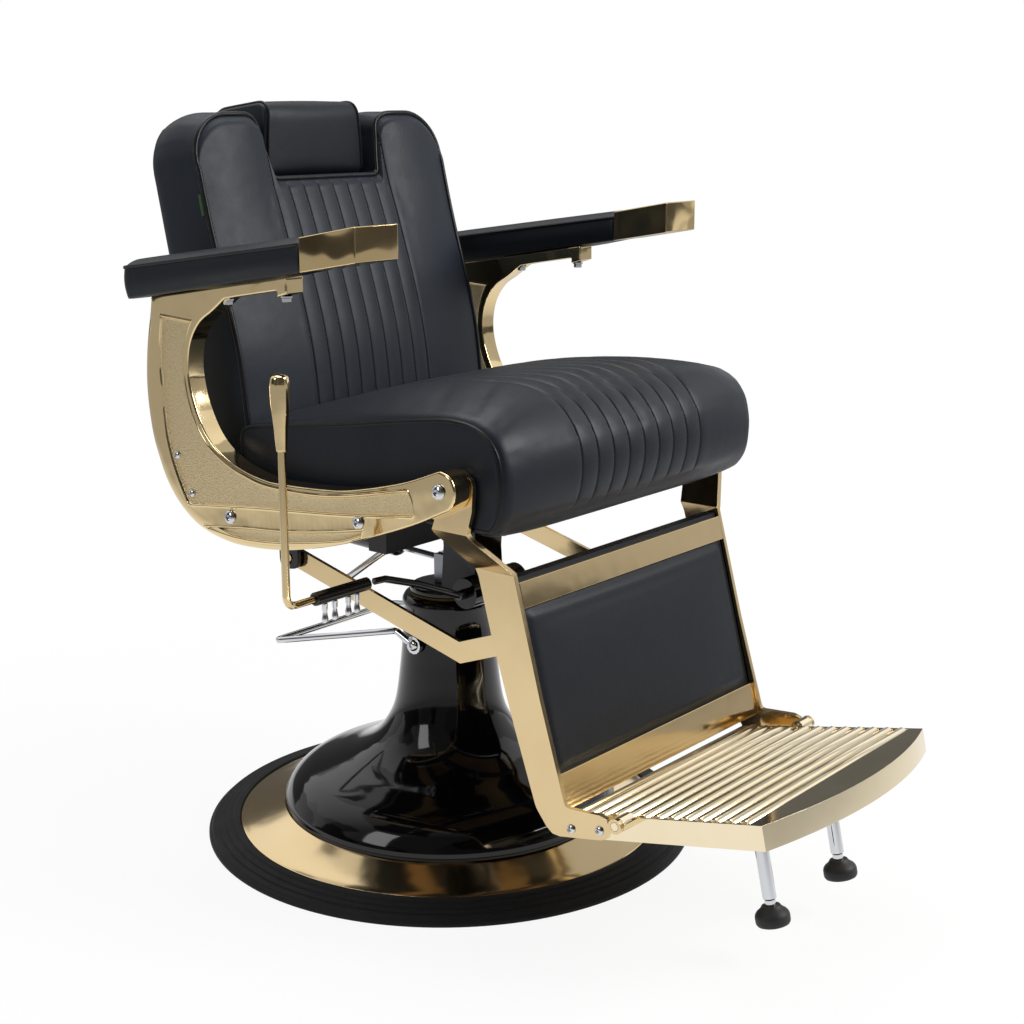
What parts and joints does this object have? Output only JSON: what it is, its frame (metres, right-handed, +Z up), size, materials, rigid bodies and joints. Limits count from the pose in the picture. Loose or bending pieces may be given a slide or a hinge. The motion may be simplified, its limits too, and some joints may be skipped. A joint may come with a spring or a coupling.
{
  "type": "hydraulic barber chair",
  "caption": "Reclining barber chair on a round hydraulic pedestal, with cast arms, channelled cushions, a sliding headrest, a calf panel, a flip-up footrest and a side pump lever.",
  "frame": {"origin": "on the floor, under the column's axis, at the middle of the round base", "axes": "+Z up; the chair faces -Y, so +Y is its rear; the sitter's right hand is on the -X side"},
  "size_m": [0.7008, 0.9711, 0.9499],
  "materials": {
    "gold_casting": "polished gold-coloured plating with stippled recessed panels",
    "gold_plate": "polished gold-coloured plating",
    "gold_tread": "polished gold-coloured ribbed tread",
    "chrome": "bright chrome",
    "black_enamel": "high-gloss black enamel",
    "black_leatherette": "black leatherette with a satin sheen and a fine pebble grain",
    "black_rubber": "matte black rubber",
    "dark_steel": "black paint",
    "grey_steel": "dull zinc plating",
    "bronze": "plain bearing bronze",
    "plywood": "bare plywood"
  },
  "bodies": {
    "base": {"base_plate": "dark_steel", "bumper_ring": "black_rubber", "trim_ring": "gold_plate", "pedestal_skirt": "black_enamel", "guide_bush": "bronze", "hydraulic_cylinder": "dark_steel", "foot_bar_screw_right": "chrome", "foot_bar_screw_left": "chrome"},
    "foot_bar": {"foot_bar": "chrome"},
    "ram": {"ram": "chrome"},
    "seat": {"pump_head": "black_enamel", "gas_spring_lug": "grey_steel", "release_valve": "chrome", "seat_frame": "dark_steel", "seat_board": "plywood", "seat_cushion": "black_leatherette", "arm_casting_right": "gold_casting", "arm_casting_left": "gold_casting", "arm_bolt_right": "chrome", "arm_bolt_left": "chrome", "leg_pivot_bolt_right": "chrome", "leg_pivot_bolt_left": "chrome", "recline_pin_right": "chrome", "recline_pin_left": "chrome", "arm_pad_right": "black_leatherette", "arm_pad_left": "black_leatherette", "arm_cap_right": "gold_plate", "arm_cap_left": "gold_plate"},
    "hand_lever": {"lever_crank": "black_enamel", "lever_sleeve": "black_enamel", "lever_rod": "gold_plate", "lever_grip": "gold_plate", "lever_set_screw_1": "chrome", "lever_set_screw_2": "chrome", "lever_set_screw_3": "chrome", "lever_set_screw_4": "chrome"},
    "release_lever": {"release_lever": "chrome"},
    "back": {"back_frame": "dark_steel", "back_cushion": "black_leatherette"},
    "headrest": {"headrest_cushion": "black_leatherette", "headrest_stem_right": "chrome", "headrest_stem_left": "chrome"},
    "gas_cylinder": {"gas_cylinder": "black_enamel"},
    "gas_rod": {"gas_rod": "black_enamel"},
    "legrest": {"calf_plate_right": "gold_plate", "calf_plate_left": "gold_plate", "calf_top_bar": "gold_plate", "calf_bottom_bar": "gold_plate", "calf_pad": "black_leatherette"},
    "link_right": {"recline_link_right": "gold_plate"},
    "link_left": {"recline_link_left": "gold_plate"},
    "footrest": {"foot_frame": "gold_plate", "foot_tread": "gold_tread", "foot_leg_right": "chrome", "foot_leg_left": "chrome", "foot_pad_right": "black_rubber", "foot_pad_left": "black_rubber"}
  },
  "joints": [
    {"name": "hydraulic_lift", "type": "slide", "parent": "base", "child": "ram", "axis": [0, 0, 1], "range_m": [0, 0.16]},
    {"name": "swivel", "type": "hinge", "parent": "ram", "child": "seat", "pos_m": [0, 0, 0.325], "axis": [0, 0, 1], "continuous": true},
    {"name": "foot_bar_pivot", "type": "hinge", "parent": "base", "child": "foot_bar", "pos_m": [0, 0, 0.262], "axis": [-1, 0, 0], "range_deg": [0, 10], "stiffness_Nm_per_rad": 8, "springref_deg": -8.59},
    {"name": "lever_pivot", "type": "hinge", "parent": "seat", "child": "hand_lever", "pos_m": [0, -0.082, 0.345], "axis": [-1, 0, 0], "range_deg": [-20, 8], "stiffness_Nm_per_rad": 8},
    {"name": "release_pivot", "type": "hinge", "parent": "seat", "child": "release_lever", "pos_m": [-0.15, -0.088, 0.452], "axis": [1, 0, 0], "range_deg": [-6, 6], "stiffness_Nm_per_rad": 3},
    {"name": "recline", "type": "hinge", "parent": "seat", "child": "back", "pos_m": [0, 0.095, 0.46], "axis": [-1, 0, 0], "range_deg": [0, 30]},
    {"name": "headrest_height", "type": "slide", "parent": "back", "child": "headrest", "axis": [0, 0.2147, 0.9767], "range_m": [0, 0.08]},
    {"name": "gas_spring_rear", "type": "hinge", "parent": "back", "child": "gas_cylinder", "pos_m": [0, 0.24, 0.372], "axis": [1, 0, 0], "range_deg": [0, 11]},
    {"name": "gas_spring_stroke", "type": "slide", "parent": "gas_cylinder", "child": "gas_rod", "axis": [0, 0.9992, 0.0388], "range_m": [0, 0.062]},
    {"name": "legrest_pivot", "type": "hinge", "parent": "seat", "child": "legrest", "pos_m": [0, -0.244, 0.54], "axis": [-1, 0, 0], "range_deg": [0, 11.2]},
    {"name": "link_right_pivot", "type": "hinge", "parent": "legrest", "child": "link_right", "pos_m": [-0.1842, -0.272, 0.353], "axis": [1, 0, 0], "range_deg": [0, 11.5]},
    {"name": "link_left_pivot", "type": "hinge", "parent": "legrest", "child": "link_left", "pos_m": [0.1842, -0.272, 0.353], "axis": [1, 0, 0], "range_deg": [0, 11.5]},
    {"name": "footrest_flip", "type": "hinge", "parent": "legrest", "child": "footrest", "pos_m": [0, -0.427, 0.177], "axis": [-1, 0, 0], "range_deg": [0, 80]}
  ],
  "couplings": [
    {"joint": "gas_spring_rear", "follows": "recline", "ratio": 0.3575},
    {"joint": "gas_spring_stroke", "follows": "recline", "m_per_rad": 0.10666},
    {"joint": "legrest_pivot", "follows": "recline", "ratio": 0.36413},
    {"joint": "link_right_pivot", "follows": "recline", "ratio": 0.36769},
    {"joint": "link_left_pivot", "follows": "recline", "ratio": 0.36769}
  ]
}
